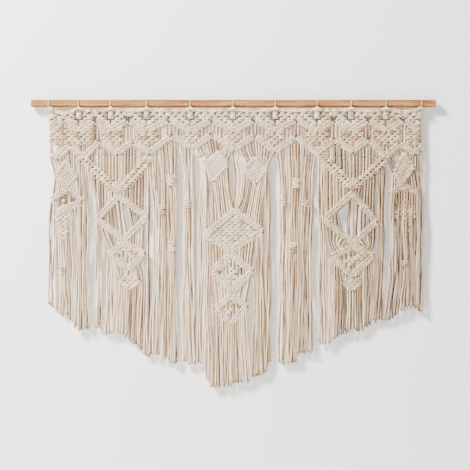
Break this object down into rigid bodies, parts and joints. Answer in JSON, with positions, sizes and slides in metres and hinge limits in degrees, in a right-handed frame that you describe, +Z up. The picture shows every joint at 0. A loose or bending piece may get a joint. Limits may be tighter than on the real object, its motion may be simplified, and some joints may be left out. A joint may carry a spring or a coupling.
{
  "type": "wall hanging",
  "caption": "Knotted cotton cord wall hanging on a round wooden dowel, with a zigzag header, diamond motifs and a long loose fringe.",
  "frame": {"origin": "on the dowel's axis, halfway along it", "axes": "+X along the dowel to the viewer's right, +Y from the viewer towards the wall, +Z up"},
  "size_m": [1.114, 0.0256, 0.7837],
  "materials": {
    "dowel_wood": "natural, lightly oiled",
    "tie_cord": "thin twisted cotton cord",
    "header_cord": "twisted cotton cord",
    "knotted_cotton": "twisted cotton cord, knotted",
    "loose_strands": "twisted cotton cord, hanging loose"
  },
  "bodies": {
    "rod": {"dowel": "dowel_wood"},
    "header": {"centre_knotted_band": "knotted_cotton", "header_cord": "header_cord", "header_strands": "loose_strands", "left_edge_knotted_band": "knotted_cotton", "left_loose_knotted_band": "knotted_cotton", "left_motif_knotted_band": "knotted_cotton", "lower_zigzag_row": "knotted_cotton", "right_edge_knotted_band": "knotted_cotton", "right_loose_knotted_band": "knotted_cotton", "right_motif_knotted_band": "knotted_cotton", "tie_01": "tie_cord", "tie_02": "tie_cord", "tie_03": "tie_cord", "tie_04": "tie_cord", "tie_05": "tie_cord", "tie_06": "tie_cord", "tie_07": "tie_cord", "tie_08": "tie_cord", "tie_09": "tie_cord", "tie_10": "tie_cord", "tie_11": "tie_cord", "upper_zigzag_row": "knotted_cotton", "zigzag_strands": "loose_strands"},
    "left_edge": {"left_edge_fringe": "loose_strands", "left_edge_knot_column": "knotted_cotton", "left_edge_woven_diamond": "knotted_cotton"},
    "left_motif": {"left_motif_diamond_1": "knotted_cotton", "left_motif_diamond_2": "knotted_cotton", "left_motif_fringe_left": "loose_strands", "left_motif_fringe_right": "loose_strands", "left_motif_knotted_tip": "knotted_cotton", "left_motif_v_band_left": "knotted_cotton", "left_motif_v_band_right": "knotted_cotton", "left_motif_v_strands": "loose_strands"},
    "left_loose": {"left_loose_bundle_left": "loose_strands", "left_loose_bundle_right": "loose_strands"},
    "centre": {"centre_diamond_1": "knotted_cotton", "centre_diamond_2": "knotted_cotton", "centre_diamond_3": "knotted_cotton", "centre_fringe_left": "loose_strands", "centre_fringe_right": "loose_strands", "centre_strands": "loose_strands", "centre_woven_diamond_left": "knotted_cotton", "centre_woven_diamond_right": "knotted_cotton"},
    "right_loose": {"right_loose_bundle_left": "loose_strands", "right_loose_bundle_right": "loose_strands"},
    "right_motif": {"right_motif_diamond_1": "knotted_cotton", "right_motif_diamond_2": "knotted_cotton", "right_motif_fringe_left": "loose_strands", "right_motif_fringe_right": "loose_strands", "right_motif_knotted_tip": "knotted_cotton", "right_motif_v_band_left": "knotted_cotton", "right_motif_v_band_right": "knotted_cotton", "right_motif_v_strands": "loose_strands"},
    "right_edge": {"right_edge_fringe": "loose_strands", "right_edge_knot_column": "knotted_cotton", "right_edge_woven_diamond": "knotted_cotton"}
  },
  "joints": [
    {"name": "header_swing", "type": "hinge", "parent": "rod", "child": "header", "pos_m": [0, 0, 0], "axis": [-1, 0, 0], "range_deg": [0, 20]},
    {"name": "left_edge_swing", "type": "hinge", "parent": "header", "child": "left_edge", "pos_m": [-0.466, 0, -0.157], "axis": [-1, 0, 0], "range_deg": [0, 25]},
    {"name": "left_motif_swing", "type": "hinge", "parent": "header", "child": "left_motif", "pos_m": [-0.3315, 0, -0.157], "axis": [-1, 0, 0], "range_deg": [0, 25]},
    {"name": "left_loose_swing", "type": "hinge", "parent": "header", "child": "left_loose", "pos_m": [-0.178, 0, -0.157], "axis": [-1, 0, 0], "range_deg": [0, 25]},
    {"name": "centre_swing", "type": "hinge", "parent": "header", "child": "centre", "pos_m": [-0.0015, 0, -0.157], "axis": [-1, 0, 0], "range_deg": [0, 25]},
    {"name": "right_loose_swing", "type": "hinge", "parent": "header", "child": "right_loose", "pos_m": [0.1725, 0, -0.157], "axis": [-1, 0, 0], "range_deg": [0, 25]},
    {"name": "right_motif_swing", "type": "hinge", "parent": "header", "child": "right_motif", "pos_m": [0.3245, 0, -0.157], "axis": [-1, 0, 0], "range_deg": [0, 25]},
    {"name": "right_edge_swing", "type": "hinge", "parent": "header", "child": "right_edge", "pos_m": [0.4675, 0, -0.157], "axis": [-1, 0, 0], "range_deg": [0, 25]}
  ]
}
